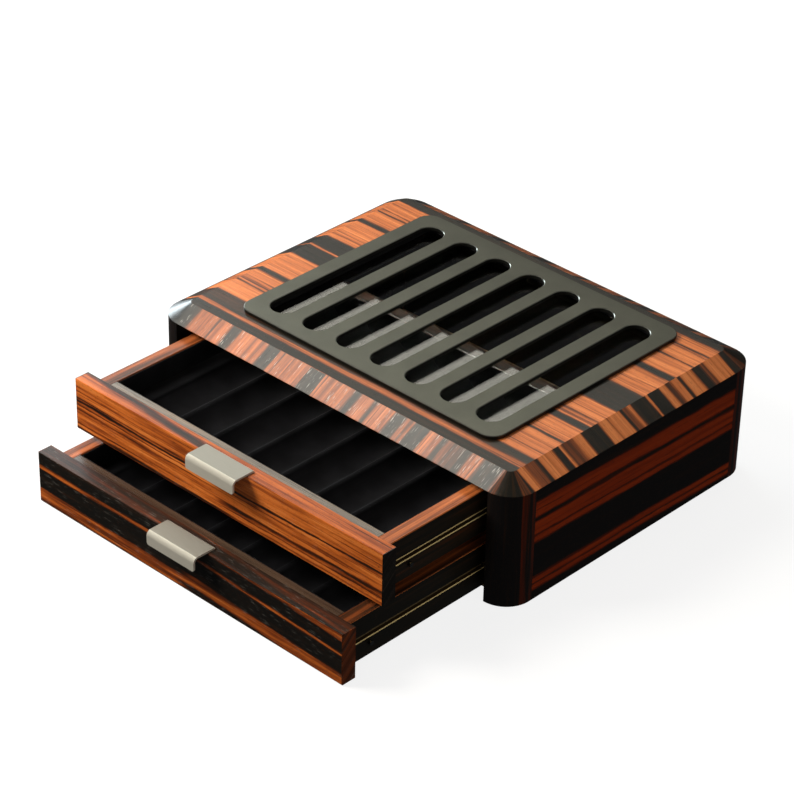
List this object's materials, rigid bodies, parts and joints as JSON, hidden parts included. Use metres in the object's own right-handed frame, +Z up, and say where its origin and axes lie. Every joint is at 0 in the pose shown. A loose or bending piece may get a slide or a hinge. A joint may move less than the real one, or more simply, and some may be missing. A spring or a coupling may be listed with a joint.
{
  "type": "pen collector chest",
  "caption": "Low veneered pen chest with two shallow drawers of velvet pen troughs, a bevelled lid, and a glazed window under a slotted metal plate.",
  "frame": {"origin": "centre of the case's footprint, on the surface that it stands on", "axes": "+X to the right as seen from the front, +Y from the drawer fronts to the back, +Z up"},
  "size_m": [0.3, 0.3526, 0.0884],
  "materials": {
    "lid_veneer": "satin lacquer, dark and orange striped veneer",
    "post_ebony": "satin lacquer, near black, upright grain",
    "case_veneer": "satin lacquer, red-brown and black stripes",
    "front_veneer": "satin lacquer, striped along the front",
    "box_wood": "satin lacquer",
    "inner_dark_wood": "satin lacquer, near black",
    "plywood": "matt",
    "dowel_wood": "matt",
    "felt": "matt felt",
    "black_velvet": "velvet pile",
    "clear_glass": "polished",
    "black_bead": "matt",
    "gunmetal_plate": "satin gunmetal grey",
    "runner_steel": "brushed",
    "rail_brass": "polished",
    "pull_metal": "fine satin",
    "small_steel": "plated"
  },
  "bodies": {
    "case": {"back_panel": "case_veneer", "base_felt": "felt", "bottom_board": "plywood", "bottom_screws": "small_steel", "frame_dowels": "dowel_wood", "glass_bead": "black_bead", "lid": "lid_veneer", "lid_dowels": "dowel_wood", "plate_pins": "small_steel", "post_front_left": "post_ebony", "post_front_right": "post_ebony", "post_rear_left": "post_ebony", "post_rear_right": "post_ebony", "rear_buffers": "felt", "runner_lower_left": "runner_steel", "runner_lower_right": "runner_steel", "runner_screws": "small_steel", "runner_upper_left": "runner_steel", "runner_upper_right": "runner_steel", "side_panel_left": "case_veneer", "side_panel_right": "case_veneer", "slot_plate": "gunmetal_plate", "stop_pins": "small_steel", "window_glass": "clear_glass"},
    "upper_drawer": {"upper_back": "box_wood", "upper_channel_left": "rail_brass", "upper_channel_pins": "small_steel", "upper_channel_right": "rail_brass", "upper_corner_dowels": "dowel_wood", "upper_floor": "plywood", "upper_front": "front_veneer", "upper_front_screws": "small_steel", "upper_inner_front": "inner_dark_wood", "upper_lining": "black_velvet", "upper_pull": "pull_metal", "upper_pull_screws": "small_steel", "upper_ridges": "black_velvet", "upper_side_left": "box_wood", "upper_side_right": "box_wood", "upper_stop_studs": "small_steel", "upper_tray": "black_velvet"},
    "lower_drawer": {"lower_back": "box_wood", "lower_channel_left": "rail_brass", "lower_channel_pins": "small_steel", "lower_channel_right": "rail_brass", "lower_corner_dowels": "dowel_wood", "lower_floor": "plywood", "lower_front": "front_veneer", "lower_front_screws": "small_steel", "lower_inner_front": "inner_dark_wood", "lower_lining": "black_velvet", "lower_pull": "pull_metal", "lower_pull_screws": "small_steel", "lower_ridges": "black_velvet", "lower_side_left": "box_wood", "lower_side_right": "box_wood", "lower_stop_studs": "small_steel", "lower_tray": "black_velvet"}
  },
  "joints": [
    {"name": "upper_drawer_slide", "type": "slide", "parent": "case", "child": "upper_drawer", "axis": [0, -1, 0], "range_m": [-0.0843, 0.0557]},
    {"name": "lower_drawer_slide", "type": "slide", "parent": "case", "child": "lower_drawer", "axis": [0, -1, 0], "range_m": [-0.1157, 0.0243]}
  ]
}
